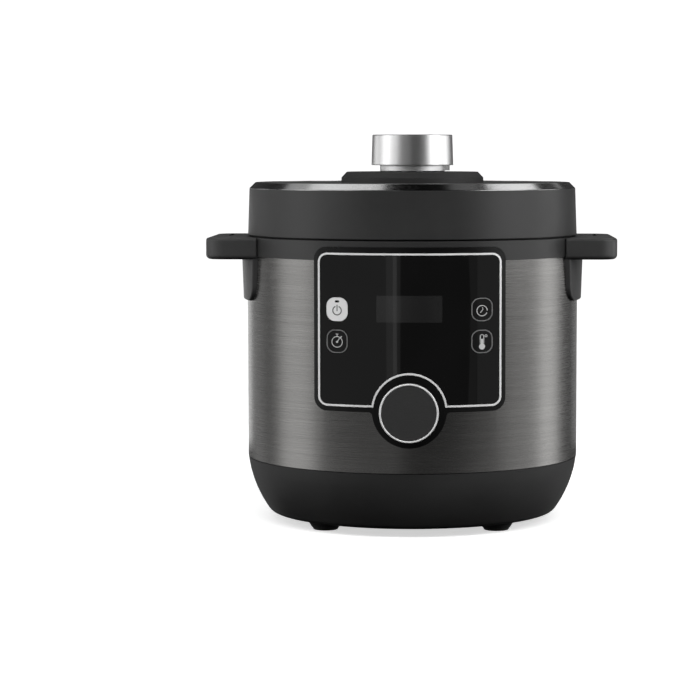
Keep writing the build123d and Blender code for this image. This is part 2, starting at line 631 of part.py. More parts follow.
with BuildPart() as lid_liner:
    add(turned((124.4, 238), (131.6, 238), (131.6, 240), (124.4, 240)))
    with lid_post_spots:
        with Locations((0, 0, 239)):
            Cylinder(SCREW_R + 0.1, 6, mode=Mode.SUBTRACT)
save(lid_liner.part, "lid_liner")

with BuildPart() as lid_screws:
    with lid_post_spots:
        with Locations((0, 0, 238)):
            add(screw(1.9, 1.4, 9))
save(lid_screws.part, "lid_screws")

save(turned((9.06, 266.2), (14.8, 266.2), (14.8, 270.6), (19, 270.6), (19, 273.2), (14.9, 273.2),
            (14.9, 284.6), (9.06, 284.6)), "knob_bush")

with BuildPart() as pressure_lid:
    add(turned((8.5, 238.0), (70.3, 238.0), (104.3, 231.8), (118.9, 231.8), (118.9, 227.0), (120.3, 227.0),
               (120.3, 233.2), (104, 233.2), (70, 239.4), (8.5, 239.4),
               rounds={(70.3, 238.0): 10, (70, 239.4): 11.4, (120.3, 233.2): 1.2}))
    for x, hole_r in ((VENT_X, 3.2), (-VENT_X, 2.9)):
        with Locations((x, VENT_Y, 238)):
            Cylinder(hole_r, 10, mode=Mode.SUBTRACT)
save(pressure_lid.part, "pressure_lid")

save(turned((111.4, 226.9), (112.5, 225.8), (118.7, 225.8), (118.7, 231.6), (115.4, 231.6), (115.4, 228.9),
            (112.6, 228.4), rounds={(118.7, 225.8): 0.6, (112.5, 225.8): 0.5}), "seal_ring")

save(turned((5.4, 236.6), (10.5, 236.6), (10.5, 237.9), (8.4, 237.9), (8.4, 239.5), (10.5, 239.5),
            (10.5, 240.8), (5.4, 240.8)), "lid_grommet")

with BuildPart() as vent_nozzle:
    nozzle = turned((1.2, 235.0), (4.8, 235.0), (4.8, 237.9), (3.15, 237.9), (3.15, 239.5), (6.5, 239.5),
                    (6.5, 242.5), (3.2, 242.5), (3.2, 290.6), (2.2, 292.0), (1.2, 292.0))
    with Locations((VENT_X, VENT_Y)):
        add(nozzle)
save(vent_nozzle.part, "vent_nozzle")

with BuildPart() as anti_block_cap:
    cap_shell = turned((0, 226.6), (13, 226.6), (13, 237.9), (11.8, 237.9), (11.8, 227.8), (0, 227.8),
                       rounds={(13, 226.6): 2})
    with Locations((VENT_X, VENT_Y)):
        add(cap_shell)
    with Locations((VENT_X, VENT_Y, 232.5)):
        with PolarLocations(12.4, 10):
            Box(4, 2, 6, mode=Mode.SUBTRACT)
save(anti_block_cap.part, "anti_block_cap")

# ---------------------------------------------------------------- knob and locking ring
save(turned((KNOB_IN_R_LOW, KNOB_LOW), (KNOB_R_LOW, KNOB_LOW), (KNOB_R_HIGH, KNOB_HIGH), (0, KNOB_HIGH), (0, 313.3),
            (KNOB_IN_R_HIGH, 313.3), rounds={(KNOB_R_HIGH, KNOB_HIGH): 0.8, (KNOB_R_LOW, KNOB_LOW): 0.5,
                                             (KNOB_IN_R_HIGH, 313.3): 0.8}), "knob_cap")

save(turned((24.0, 285.3), (NECK_R, 285.3), (NECK_R, 292.8), (31.3, 292.8), (31.3, 294.3), (24.0, 294.3),
            rounds={(NECK_R, 285.3): 0.4}), "knob_neck")

save(turned((SPINDLE_R, 294.4), (30.8, 294.4), (30.7, 313.2), (0, 313.2), (0, 300.1), (SPINDLE_R, 300.1),
            rounds={(30.7, 313.2): 1.0}), "knob_core")

save(turned((0, 236.2), (4.4, 236.2), (STUD_R, 236.8), (STUD_R, 262), (SPINDLE_R, 262), (SPINDLE_R, 300), (0, 300)),
     "knob_spindle")

with BuildPart() as spindle_nut:
    with BuildSketch(Plane.XY.offset(257)):
        RegularPolygon(9.2, 6)
        Circle(STUD_R, mode=Mode.SUBTRACT)
    extrude(amount=4.9)
save(spindle_nut.part, "spindle_nut")

with BuildPart() as lock_ring:
    add(turned((LOCK_WALL_IN_R, LUG_LOW), (LOCK_WALL_R, LUG_LOW), (LOCK_WALL_R, 265), (LOCK_WALL_IN_R, 265),
               (LOCK_WALL_IN_R, 236), (112, 236), (112, 234), (LOCK_WALL_IN_R, 234)))
    lug = sector(LOCK_WALL_R - 0.5, LUG_OUT_R, LUG_LOW, LUG_HIGH, LUG_WIDTH)
    with PolarLocations(0, LUG_COUNT):
        add(lug)
    with BuildSketch(Plane.XY.offset(262)):
        Circle(16)
        with Locations((61, 0), (-61, 0)):
            Rectangle(121, 18)
        with Locations((0, -61)):
            Rectangle(18, 121)
    extrude(amount=3)
    Cylinder(SPINDLE_R, REACH * 2, mode=Mode.SUBTRACT)
save(lock_ring.part, "lock_ring")

# ---------------------------------------------------------------- valves
with BuildPart() as steam_valve:
    with Locations((0, 0, 285.6)):
        Cylinder(10.5, 7.4, align=ON_TOP)
    fillet(steam_valve.faces().sort_by(Axis.Z)[-1].edges(), 1.5)
    with BuildSketch(Plane.XY.offset(292)):
        RectangleRounded(18, 6.5, 3)
    extrude(amount=11, taper=4)
    fillet(steam_valve.faces().sort_by(Axis.Z)[-1].edges(), 1.2)
    with Locations((0, 0, 285)):
        Cylinder(3.5, 7.8, align=ON_TOP, mode=Mode.SUBTRACT)
save(steam_valve.part.moved(Location((VENT_X, VENT_Y, 0))), "steam_valve")

float_pin_profile = turned((0, 231.4), (4.4, 231.4), (4.4, 232.6), (2.6, 232.6), (2.6, 239.6), (4.2, 239.6),
                           (4.2, 241.4), (2.6, 241.4), (2.6, 283.4), (0, 283.4), rounds={(2.6, 283.4): 0.8})
save(float_pin_profile.moved(Location((-VENT_X, VENT_Y, 0))), "float_pin")
float_seal_profile = turned((2.6, 232.6), (5.2, 232.6), (5.2, 234.2), (2.6, 234.2), rounds={(5.2, 234.2): 0.5})
save(float_seal_profile.moved(Location((-VENT_X, VENT_Y, 0))), "float_seal")
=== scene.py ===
"""Looks of the electric pressure cooker: materials, printed signs, sensor spring, studio and camera."""
from math import cos, pi, radians, sin, sqrt

import bmesh
import bpy
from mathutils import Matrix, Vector
from mathutils.bvhtree import BVHTree


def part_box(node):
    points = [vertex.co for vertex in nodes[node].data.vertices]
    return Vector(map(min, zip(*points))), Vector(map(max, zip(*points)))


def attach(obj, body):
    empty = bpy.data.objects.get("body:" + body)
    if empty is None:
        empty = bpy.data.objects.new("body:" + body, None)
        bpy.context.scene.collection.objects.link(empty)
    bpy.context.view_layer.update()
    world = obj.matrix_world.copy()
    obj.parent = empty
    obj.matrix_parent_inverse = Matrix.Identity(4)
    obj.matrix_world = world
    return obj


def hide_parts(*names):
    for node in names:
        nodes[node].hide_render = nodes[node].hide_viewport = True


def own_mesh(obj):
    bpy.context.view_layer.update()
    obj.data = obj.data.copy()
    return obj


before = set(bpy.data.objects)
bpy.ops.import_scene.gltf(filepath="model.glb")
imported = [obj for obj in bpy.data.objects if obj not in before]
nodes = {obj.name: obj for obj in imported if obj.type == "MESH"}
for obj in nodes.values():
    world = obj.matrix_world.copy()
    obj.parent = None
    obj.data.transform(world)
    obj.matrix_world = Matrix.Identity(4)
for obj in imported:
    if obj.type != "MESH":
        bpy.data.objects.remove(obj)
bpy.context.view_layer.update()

MM = 0.001


def placed(name, data):
    """New object, linked into the scene."""
    made = bpy.data.objects.new(name, data)
    bpy.context.scene.collection.objects.link(made)
    return made


def smooth_mesh(name, corners, faces):
    mesh = bpy.data.meshes.new(name)
    mesh.from_pydata(corners, [], faces)
    mesh.shade_smooth()
    return mesh


# ---------------------------------------------------------------- material tools
class Maker:
    """Adds nodes to one material and links them."""

    def __init__(self, name):
        self.material = bpy.data.materials.new(name)
        self.material.use_nodes = True
        self.tree = self.material.node_tree
        self.shader = self.tree.nodes["Principled BSDF"]

    def node(self, kind, **values):
        made = self.tree.nodes.new("ShaderNode" + kind)
        for key, value in values.items():
            setattr(made, key, value)
        return made

    def link(self, source, target):
        self.tree.links.new(source, target)

    def set(self, **values):
        """Sets the shader's own sockets: set(Base_Color=(r, g, b), Roughness=0.4)."""
        for key, value in values.items():
            if isinstance(value, tuple) and len(value) == 3:
                value = (*value, 1.0)
            self.shader.inputs[key.replace("_", " ")].default_value = value

    def math(self, operation, first, second=None):
        made = self.node("Math", operation=operation)
        for socket, value in zip(made.inputs, (first, second)):
            if value is None:
                continue
            if isinstance(value, (int, float)):
                socket.default_value = value
            else:
                self.link(value, socket)
        return made.outputs[0]

    def position(self):
        return self.node("TexCoord").outputs["Object"]

    def cylindrical(self):
        """Angle about the Z axis in radians, height and radius in metres."""
        split = self.node("SeparateXYZ")
        self.link(self.position(), split.inputs[0])
        x, y, z = split.outputs
        angle = self.math("ARCTAN2", x, self.math("MULTIPLY", y, -1.0))
        squares = self.math("ADD", self.math("MULTIPLY", x, x), self.math("MULTIPLY", y, y))
        return angle, z, self.math("SQRT", squares)

    def around_z(self, per_radian, per_metre, per_radius=0.0):
        """Texture place that runs around the Z axis: (angle, height, radius), each with its own scale."""
        angle, z, radius = self.cylindrical()
        place = self.node("CombineXYZ")
        self.link(self.math("MULTIPLY", angle, per_radian), place.inputs[0])
        self.link(self.math("MULTIPLY", z, per_metre), place.inputs[1])
        self.link(self.math("MULTIPLY", radius, per_radius), place.inputs[2])
        return place.outputs[0]

    def scaled(self, scale):
        mapping = self.node("Mapping")
        mapping.inputs["Scale"].default_value = scale
        self.link(self.position(), mapping.inputs["Vector"])
        return mapping.outputs[0]

    def noise(self, place, scale=1.0, detail=3.0, roughness=0.5):
        made = self.node("TexNoise")
        made.inputs["Scale"].default_value = scale
        made.inputs["Detail"].default_value = detail
        made.inputs["Roughness"].default_value = roughness
        self.link(place, made.inputs["Vector"])
        return made.outputs[0]

    def spread(self, value, low, high, start=0.3, end=0.7):
        """Maps a texture value onto the range low to high."""
        made = self.node("MapRange")
        made.inputs["From Min"].default_value = start
        made.inputs["From Max"].default_value = end
        made.inputs["To Min"].default_value = low
        made.inputs["To Max"].default_value = high
        self.link(value, made.inputs["Value"])
        return made.outputs[0]

    def colours(self, value, *stops):
        """Colour ramp: each stop is (position, (r, g, b))."""
        made = self.node("ValToRGB")
        ramp = made.color_ramp
        while len(ramp.elements) < len(stops):
            ramp.elements.new(0.5)
        for element, (position, colour) in zip(ramp.elements, stops):
            element.position = position
            element.color = (*colour, 1.0)
        self.link(value, made.inputs[0])
        return made.outputs[0]

    def colour_from(self, value, *stops):
        self.link(self.colours(value, *stops), self.shader.inputs["Base Color"])

    def darken(self, factor):
        """Multiplies the colour that is already linked."""
        colour = self.shader.inputs["Base Color"].links[0].from_socket
        scaled = self.node("VectorMath", operation="SCALE")
        self.link(colour, scaled.inputs[0])
        self.link(factor, scaled.inputs["Scale"])
        self.link(scaled.outputs[0], self.shader.inputs["Base Color"])

    def roughness_from(self, value, low, high):
        self.link(self.spread(value, low, high), self.shader.inputs["Roughness"])

    def bump(self, *layers):
        """Layers of (height value, depth in metres, strength), each on top of the one before."""
        normal = None
        for height, depth, strength in layers:
            made = self.node("Bump")
            made.inputs["Strength"].default_value = strength
            made.inputs["Distance"].default_value = depth
            self.link(height, made.inputs["Height"])
            if normal is not None:
                self.link(normal, made.inputs["Normal"])
            normal = made.outputs[0]
        self.link(normal, self.shader.inputs["Normal"])


def grey(level):
    return (level, level, level)


def shade(colour, factor):
    """The colour made darker or lighter by a factor, within white."""
    return tuple(min(1.0, factor * part) for part in colour)


# ---------------------------------------------------------------- materials
def moulded_plastic(name, colour, roughness, grain=0.00004, specular=0.5):
    """Spark-eroded plastic: a fine even grain, with slow changes of gloss from handling."""
    made = Maker(name)
    fine = made.noise(made.position(), 2600, 2, 0.6)
    patches = made.noise(made.position(), 14, 4, 0.6)
    made.colour_from(patches, (0.3, shade(colour, 0.86)), (0.7, shade(colour, 1.14)))
    made.roughness_from(patches, roughness - 0.05, roughness + 0.05)
    made.set(Specular_IOR_Level=specular)
    made.bump((fine, grain, 0.35), (patches, 0.0002, 0.05))
    return made.material


def gloss_plastic(name, colour, roughness=0.07):
    """Polished moulding with faint waviness, a few hairline marks and a trace of dust."""
    made = Maker(name)
    waves = made.noise(made.position(), 22, 2, 0.5)
    marks = made.noise(made.scaled((900, 900, 60)), 1.0, 2, 0.7)
    made.colour_from(waves, (0.35, shade(colour, 0.8)), (0.65, shade(colour, 1.25)))
    made.roughness_from(marks, roughness * 0.7, roughness * 1.6)
    made.set(Coat_Weight=0.8, Coat_Roughness=0.03)
    made.bump((waves, 0.00025, 0.12), (marks, 0.00001, 0.15))
    return made.material


SEAM_SHADE_KEEP = 0.02  # share of its colour that the metal keeps under the painted seam shade
# half the width, in metres, over which the painted seam shade fades in
SEAM_SHADE_BLEND = 0.0005


def brushed_around(name, colour, roughness, streak, lines=6500.0, anisotropic=0.7, seam_shade_from=None):
    """Metal brushed around the Z axis: fine lines along the circumference.

    Beyond a radius given in metres, its colour is darkened almost to black: painted shade for the shadowed
    seam between lid and collar.
    """
    made = Maker(name)
    threads = made.noise(made.around_z(4.0, lines), 1.0, 4, 0.65)
    bands = made.noise(made.around_z(0.7, lines / 14), 1.0, 3, 0.6)
    mixed = made.math("ADD", made.math("MULTIPLY", threads, 0.6), made.math("MULTIPLY", bands, 0.4))
    made.colour_from(mixed, (0.36, shade(colour, 1 - streak)), (0.64, shade(colour, 1 + streak)))
    # painted shade: past the radius the colour is darkened nearly to black, standing in for the shadow in
    # the seam
    if seam_shade_from:
        radius = made.cylindrical()[2]
        made.darken(made.spread(radius, 1.0, SEAM_SHADE_KEEP, seam_shade_from - SEAM_SHADE_BLEND, seam_shade_from + SEAM_SHADE_BLEND))
    made.roughness_from(threads, roughness - 0.06, roughness + 0.09)
    made.set(Metallic=1.0, Anisotropic=anisotropic)
    tangent = made.node("Tangent", direction_type="RADIAL", axis="Z")
    made.link(tangent.outputs[0], made.shader.inputs["Tangent"])
    made.bump((threads, 0.00002, 0.25), (bands, 0.00003, 0.12))
    return made.material


LATHE_RINGS = 5200.0


def turned_metal(name, colour, roughness, metallic=1.0, contrast=0.15):
    """Metal faced on a lathe: fine rings about the Z axis on its flat faces, fine lines on its sides."""
    made = Maker(name)
    threads = made.noise(made.around_z(3.0, LATHE_RINGS, LATHE_RINGS), 1.0, 3, 0.6)
    bands = made.noise(made.around_z(0.8, LATHE_RINGS / 9, LATHE_RINGS / 9), 1.0, 2, 0.6)
    made.colour_from(threads, (0.32, shade(colour, 1 - contrast)), (0.68, shade(colour, 1 + contrast)))
    made.roughness_from(bands, roughness * (1 - contrast), roughness * (1 + contrast))
    made.set(Metallic=metallic, Anisotropic=0.35)
    made.bump((threads, 0.0001 * contrast, 0.2))
    return made.material


def polished_metal(name, colour, roughness, metallic=1.0, worn=0.12):
    """Plated or polished surface with a slight ripple and a few fine scratches."""
    made = Maker(name)
    ripple = made.noise(made.position(), 45, 2, 0.5)
    scratches = made.noise(made.scaled((2400, 160, 900)), 1.0, 2, 0.7)
    made.colour_from(ripple, (0.3, shade(colour, 0.93)), (0.7, shade(colour, 1.05)))
    made.roughness_from(scratches, roughness * 0.75, roughness * 1.5)
    made.set(Metallic=metallic)
    made.bump((ripple, 0.0001, 0.08), (scratches, 0.00001, worn))
    return made.material


def cast_metal(name, colour, roughness):
    """Die-cast aluminium: granular skin with darker oxide in the hollows."""
    made = Maker(name)
    grains = made.noise(made.position(), 900, 5, 0.65)
    stains = made.noise(made.position(), 35, 4, 0.6)
    made.colour_from(stains, (0.3, shade(colour, 0.7)), (0.65, colour))
    made.roughness_from(grains, roughness - 0.08, roughness + 0.1)
    made.set(Metallic=1.0)
    made.bump((grains, 0.00012, 0.4), (stains, 0.0003, 0.1))
    return made.material


def rubber(name, colour):
    """Soft matt elastomer with a bloom of fine dust."""
    made = Maker(name)
    dust = made.noise(made.position(), 180, 5, 0.7)
    pores = made.noise(made.position(), 1600, 2, 0.6)
    made.colour_from(dust, (0.4, colour), (0.75, shade(colour, 1.35)))
    made.roughness_from(pores, 0.67, 0.83)
    made.set(Sheen_Weight=0.08, Sheen_Roughness=0.5)
    made.bump((pores, 0.00006, 0.3))
    return made.material


def milky_silicone(name):
    """Translucent white silicone of the lid's seal."""
    made = Maker(name)
    cloud = made.noise(made.position(), 70, 3, 0.6)
    made.colour_from(cloud, (0.3, (0.62, 0.64, 0.65)), (0.7, (0.76, 0.77, 0.77)))
    made.roughness_from(cloud, 0.32, 0.46)
    made.set(Subsurface_Weight=0.25, Subsurface_Scale=0.003)
    made.bump((cloud, 0.0001, 0.1))
    return made.material


def smoked_clear(name):
    """Translucent smoke-grey polymer of the drip cup."""
    made = Maker(name)
    cloud = made.noise(made.position(), 50, 3, 0.5)
    made.colour_from(cloud, (0.3, (0.44, 0.45, 0.46)), (0.7, (0.54, 0.55, 0.56)))
    made.roughness_from(cloud, 0.10, 0.18)
    made.set(Transmission_Weight=0.75, IOR=1.49)
    made.bump((cloud, 0.0001, 0.08))
    return made.material


def circuit_board(name):
    """Green solder mask with a faint pattern of tracks below it."""
    made = Maker(name)
    tracks = made.node("TexBrick")
    tracks.inputs["Scale"].default_value = 160
    tracks.inputs["Mortar Size"].default_value = 0.03
    tracks.inputs["Color1"].default_value = (0.012, 0.10, 0.045, 1)
    tracks.inputs["Color2"].default_value = (0.016, 0.13, 0.055, 1)
    tracks.inputs["Mortar"].default_value = (0.05, 0.22, 0.10, 1)
    made.link(made.position(), tracks.inputs["Vector"])
    made.link(tracks.outputs[0], made.shader.inputs["Base Color"])
    grain = made.noise(made.position(), 500, 2, 0.5)
    made.roughness_from(grain, 0.25, 0.4)
    made.bump((tracks.outputs[1], 0.00003, 0.2))
    return made.material


def printed_ink(name, level):
    """Screen-printed ink: slightly uneven cover."""
    made = Maker(name)
    cover = made.noise(made.position(), 1500, 3, 0.6)
    made.colour_from(cover, (0.3, grey(level * 0.9)), (0.7, grey(level * 1.08)))
    made.roughness_from(cover, 0.4, 0.55)
    made.bump((cover, 0.00001, 0.2))
    return made.material


finishes = {
    "satin_black": moulded_plastic("satin_black", grey(0.027), 0.44, specular=0.40),
    "base_black": moulded_plastic("base_black", grey(0.036), 0.46, specular=0.24),
    "handle_black": moulded_plastic("handle_black", grey(0.042), 0.44, specular=0.42),
    "bezel_black": moulded_plastic("bezel_black", grey(0.004), 0.30, 0.00002, specular=0.30),
    "boss_black": moulded_plastic("boss_black", grey(0.020), 0.55, specular=0.35),
    "sleeve_steel": brushed_around("sleeve_steel", (0.235, 0.232, 0.226), 0.25, 0.15, anisotropic=0.65),
    "shoulder_chrome": polished_metal("shoulder_chrome", grey(0.46), 0.15),
    "silver_paint": polished_metal("silver_paint", grey(0.90), 0.30, metallic=0.15, worn=0.02),
    "panel_gloss": gloss_plastic("panel_gloss", grey(0.0022), 0.05),
    "key_silver": moulded_plastic("key_silver", grey(0.84), 0.38, 0.00002),
    "window_smoke": gloss_plastic("window_smoke", grey(0.016), 0.12),
    "lcd_grey": gloss_plastic("lcd_grey", (0.06, 0.07, 0.065), 0.2),
    "dial_grey": turned_metal("dial_grey", grey(0.044), 0.42, metallic=0.2),
    "knob_aluminium": turned_metal("knob_aluminium", grey(0.72), 0.32, contrast=0.025),
    "neck_aluminium": turned_metal("neck_aluminium", grey(0.85), 0.45, contrast=0.025),
    "valve_grey": moulded_plastic("valve_grey", grey(0.30), 0.4),
    "knob_black": moulded_plastic("knob_black", grey(0.03), 0.4),
    "rubber_black": rubber("rubber_black", grey(0.02)),
    "seal_silicone": milky_silicone("seal_silicone"),
    "satin_steel": brushed_around("satin_steel", grey(0.58), 0.26, 0.12),
    # the lug ring's outer rim gets painted shade: darkened where the seam between lid and collar lies in
    # shadow
    "lug_steel_seam_shade": brushed_around("lug_steel_seam_shade", grey(0.58), 0.26, 0.12, seam_shade_from=0.1292),
    "pot_steel": brushed_around("pot_steel", grey(0.62), 0.22, 0.10, lines=2600.0),
    "cast_aluminium": cast_metal("cast_aluminium", grey(0.55), 0.42),
    "element_steel": cast_metal("element_steel", (0.30, 0.27, 0.25), 0.5),
    "fuse_ceramic": moulded_plastic("fuse_ceramic", (0.72, 0.70, 0.62), 0.55),
    "phenolic": moulded_plastic("phenolic", (0.42, 0.33, 0.2), 0.5),
    "plated_brass": polished_metal("plated_brass", (0.72, 0.62, 0.38), 0.2),
    "circuit_board": circuit_board("circuit_board"),
    "inner_plastic": moulded_plastic("inner_plastic", grey(0.08), 0.5),
    "cup_smoke": smoked_clear("cup_smoke"),
}

node_finishes = {
    "satin_black": ("lid_cover", "collar", "lid_liner"),
    "handle_black": ("handle_left", "handle_right"),
    "base_black": ("base_shell", "bottom_cover", "dial_body", "cup_bracket", "power_inlet"),
    "bezel_black": ("panel_bezel",),
    "boss_black": ("lid_boss",),
    "sleeve_steel": ("outer_sleeve",),
    "shoulder_chrome": ("lid_trim_ring",),
    "silver_paint": ("panel_trim", "dial_ring"),
    "panel_gloss": ("panel_face", "timer_button", "delay_button", "temperature_button"),
    "key_silver": ("power_button",),
    "window_smoke": ("display_window",),
    "lcd_grey": ("display_module",),
    "dial_grey": ("dial_face",),
    "knob_aluminium": ("knob_cap",),
    "neck_aluminium": ("knob_neck",),
    "valve_grey": ("steam_valve",),
    "knob_black": ("knob_core", "knob_bush"),
    "rubber_black": ("foot_pads", "lid_grommet", "float_seal"),
    "seal_silicone": ("seal_ring",),
    "satin_steel": ("housing_screws", "lid_screws", "heat_shield", "pressure_lid", "knob_spindle",
                    "spindle_nut", "lock_ring", "sensor_spring", "vent_nozzle", "anti_block_cap",
                    "float_pin", "sensor_guide", "encoder_shaft"),
    "lug_steel_seam_shade": ("lug_ring",),
    "pot_steel": ("inner_pot",),
    "cast_aluminium": ("heating_plate", "sensor_cap"),
    "element_steel": ("heating_element",),
    "fuse_ceramic": ("thermal_fuse",),
    "phenolic": ("pressure_switch",),
    "plated_brass": ("inlet_pins",),
    "circuit_board": ("power_board", "control_board"),
    "inner_plastic": ("control_backplate", "encoder"),
    "cup_smoke": ("drip_cup",),
}
for finish, names in node_finishes.items():
    for name in names:
        for material_slot in nodes[name].material_slots:
            material_slot.material = finishes[finish]


# ---------------------------------------------------------------- printed signs
# A sign is drawn flat, in millimetres, as (x, z) strokes and discs, then wrapped on its curved wall.
PANEL_GAP = 0.00003
PRINT_R = -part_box("panel_face")[0].y + PANEL_GAP
INK_SUNK, INK_PROUD = 0.00012, 0.00006  # the ink's back and front, in metres into and out of the wall
STROKE = 0.55  # usual line width, in millimetres
POT_R = 0.11  # about the pot's radius: the marks are aimed at it
pot_mesh = nodes["inner_pot"].data
pot_faces = BVHTree.FromPolygons([corner.co for corner in pot_mesh.vertices],
                                 [face.vertices for face in pot_mesh.polygons])


def on_panel(x, z, depth):
    """Point on the panel at (x, z) metres in the front view, depth metres out of the face."""
    radius = PRINT_R + depth
    return Vector((x * radius / PRINT_R, -sqrt(PRINT_R ** 2 - x ** 2) * radius / PRINT_R, z))


def on_pot_wall(x, z, depth):
    """Point on the inside of the pot's rear wall, depth metres out of the steel."""
    outward = Vector((x, sqrt(POT_R ** 2 - x ** 2), 0)).normalized()
    wall = pot_faces.ray_cast(Vector((0, 0, z)), outward)[0]
    return wall - outward * depth


def ribbon(builder, points, width, closed=False):
    """Raised band of ink along points, in millimetres from the sign's centre. builder makes a corner."""
    count = len(points)
    rails = []
    for i, (x, z) in enumerate(points):
        before = points[i - 1] if closed or i > 0 else points[i]
        after = points[(i + 1) % count] if closed or i < count - 1 else points[i]
        along = Vector((after[0] - before[0], after[1] - before[1])).normalized()
        side = Vector((-along.y, along.x)) * width / 2
        rails.append(((x + side.x, z + side.y), (x - side.x, z - side.y)))
    corners = []
    for outer, inner in rails:
        corners.append([builder(*outer, 0), builder(*inner, 0), builder(*inner, 1), builder(*outer, 1)])
    pairs = list(zip(corners, corners[1:]))
    if closed:
        pairs.append((corners[-1], corners[0]))
    quads = []
    for near, far in pairs:
        for k in range(4):
            following = (k + 1) % 4
            quads.append((near[k], near[following], far[following], far[k]))
    if not closed:
        quads.append(tuple(reversed(corners[0])))
        quads.append(tuple(corners[-1]))
    return quads


def circle(radius, centre=(0, 0), start=0.0, sweep=360.0, steps=40):
    """Points on an arc, in degrees from +x."""
    whole = sweep >= 360
    count = steps if whole else steps + 1
    angles = [radians(start + sweep * i / steps) for i in range(count)]
    return [(centre[0] + radius * cos(a), centre[1] + radius * sin(a)) for a in angles]


def disc(builder, x, z, radius):
    """Filled round dot."""
    ring = circle(radius, (x, z), steps=28)
    low = [builder(*point, 0) for point in ring]
    high = [builder(*point, 1) for point in ring]
    quads = [tuple(reversed(high)), tuple(low)]
    for i in range(len(ring)):
        j = (i + 1) % len(ring)
        quads.append((low[i], high[i], high[j], low[j]))
    return quads


def rounded_square(width, height, corner):
    """Closed outline with round corners."""
    points = []
    for turn, (sx, sz) in enumerate(((1, 1), (-1, 1), (-1, -1), (1, -1))):
        centre = (sx * (width / 2 - corner), sz * (height / 2 - corner))
        points += circle(corner, centre, 90 * turn, 90, steps=10)
    return points


def printed(name, node, ink, body, draw, place=on_panel):
    """One printed piece: draw(corner) gives its strokes, about the middle of a node's front view."""
    low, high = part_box(node)
    middle = (low + high) / 2
    mesh = bpy.data.meshes.new(name)
    sheet = bmesh.new()

    def corner(x, z, level):
        depth = INK_PROUD if level else -INK_SUNK
        return sheet.verts.new(place(middle.x + x * MM, middle.z + z * MM, depth))

    for quads in draw(corner):
        for quad in quads:
            sheet.faces.new(quad)
    bmesh.ops.recalc_face_normals(sheet, faces=sheet.faces)
    sheet.to_mesh(mesh)
    sheet.free()
    mesh.materials.append(ink)
    piece = placed(name, mesh)
    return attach(piece, body)


ink_light = printed_ink("ink_light", 0.62)
ink_outline = printed_ink("ink_outline", 0.18)
ink_dark = printed_ink("ink_dark", 0.10)
led_black = gloss_plastic("led_black", grey(0.004), 0.2)


def key_outline(corner):
    yield ribbon(corner, rounded_square(15.7, 17.3, 6.2), 0.75, closed=True)


def power_sign(corner):
    yield ribbon(corner, circle(3.35, (0, -0.95), 112, 316), 0.8)
    yield ribbon(corner, [(0, 3.5), (0, -1.4)], 0.7)


def power_led(corner):
    yield ribbon(corner, [(-0.85, 6.1), (0.85, 6.1)], 1.7)
    yield disc(corner, -0.85, 6.1, 0.85)
    yield disc(corner, 0.85, 6.1, 0.85)


def stopwatch_sign(corner):
    yield ribbon(corner, circle(4.1, (0, -0.5)), STROKE, closed=True)
    yield ribbon(corner, [(0, 3.9), (0, 5.5)], STROKE)
    yield ribbon(corner, [(-0.95, 5.5), (0.95, 5.5)], STROKE)
    yield ribbon(corner, [(2.8, 3.0), (3.6, 3.9)], STROKE * 1.3)
    yield ribbon(corner, [(0, -0.5), (1.9, 2.3)], STROKE)
    yield disc(corner, 0, -0.5, 0.85)


def clock_sign(corner):
    yield ribbon(corner, circle(4.0, (0, -0.9), -2, 340), STROKE)
    yield ribbon(corner, [(0.3, 1.6), (0.7, 0.0), (-1.4, -2.5)], STROKE)


def thermometer_sign(corner):
    tube = circle(1.35, (0, 4.0), 0, 180, 12)
    yield ribbon(corner, [(1.35, -1.6)] + tube + [(-1.35, -1.6)], STROKE)
    yield ribbon(corner, [(0, 2.0), (0, -2.0)], 1.6)
    yield disc(corner, 0, -3.9, 2.35)
    yield ribbon(corner, circle(0.85, (3.1, 4.3)), STROKE * 0.9, closed=True)


signs = (
    ("power_sign", "power_button", "power_key", ink_dark, power_sign),
    ("power_led", "power_button", "power_key", led_black, power_led),
    ("timer_outline", "timer_button", "timer_key", ink_outline, key_outline),
    ("timer_sign", "timer_button", "timer_key", ink_light, stopwatch_sign),
    ("delay_outline", "delay_button", "delay_key", ink_outline, key_outline),
    ("delay_sign", "delay_button", "delay_key", ink_light, clock_sign),
    ("temperature_outline", "temperature_button", "temperature_key", ink_outline, key_outline),
    ("temperature_sign", "temperature_button", "temperature_key", ink_light, thermometer_sign),
)
for name, node, body, ink, draw in signs:
    printed(name, node, ink, body, draw)


def pot_scale(corner):
    """Etched fill marks: a mark every 8 mm, every other one longer, below a wide fill limit."""
    marks = [(8 * step - 46, 10 if step % 2 == 0 else 6, 0.6) for step in range(11)]
    fill_limit = (42, 18, 1.0)
    for z, half_length, width in marks + [fill_limit]:
        yield ribbon(corner, [(x, z) for x in range(-half_length, half_length + 1, 2)], width)


printed("pot_scale", "inner_pot", ink_dark, "pot", pot_scale, on_pot_wall)


# ---------------------------------------------------------------- sensor spring
# The spring shortens as the sensor's cap goes down; here it is made again as its own coiled-wire mesh,
# attached to the housing, and the model's spring is hidden.
WIRE_R = 0.0006
SPRING_PITCH = 0.0033
WIRE_SIDES, STEPS_PER_TURN = 8, 32


